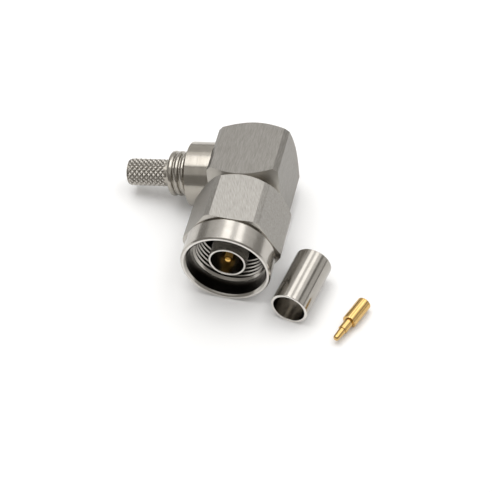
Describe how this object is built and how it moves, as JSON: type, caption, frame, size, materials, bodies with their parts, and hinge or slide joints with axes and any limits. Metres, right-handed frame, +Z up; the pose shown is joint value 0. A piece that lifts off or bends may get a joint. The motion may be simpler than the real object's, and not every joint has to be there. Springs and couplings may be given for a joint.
{
  "type": "n type connector",
  "caption": "Right-angle coaxial plug with a hexagonal coupling nut and a ribbed crimp stub, its crimp sleeve and cable contact lying loose beside it.",
  "frame": {"origin": "centre of the outer contact's front face, on the mating axis", "axes": "-Y along the mating axis out of the mouth, +Z up, the cable arm towards -X and 10 degrees down from level"},
  "size_m": [0.0592, 0.0434, 0.0194],
  "materials": {
    "nickel_nut": "satin nickel plate over brass, brushed along the mating axis",
    "nickel_elbow": "satin nickel plate over brass, brushed",
    "nickel_turned": "bright nickel plate over turned brass",
    "nickel_ferrule": "bright nickel plate over drawn copper",
    "gold_plate": "gold plate over beryllium copper",
    "spring_bronze": "plain spring bronze",
    "silicone": "matt black silicone rubber",
    "ptfe": "white fluoropolymer"
  },
  "bodies": {
    "plug": {"plug_shell": "nickel_turned", "retaining_ring": "spring_bronze", "interface_gasket": "silicone", "front_insulator": "ptfe", "center_pin": "gold_plate", "elbow_body": "nickel_elbow", "rear_cap": "nickel_elbow", "cap_insulator": "ptfe", "crimp_stub": "nickel_turned", "elbow_socket": "gold_plate", "arm_insulator": "ptfe", "crimp_ferrule": "nickel_ferrule", "cable_contact": "gold_plate"},
    "nut": {"coupling_nut": "nickel_nut"}
  },
  "joints": [
    {"name": "nut_turn", "type": "hinge", "parent": "plug", "child": "nut", "pos_m": [0, 0, 0], "axis": [0, -1, 0], "continuous": true}
  ]
}
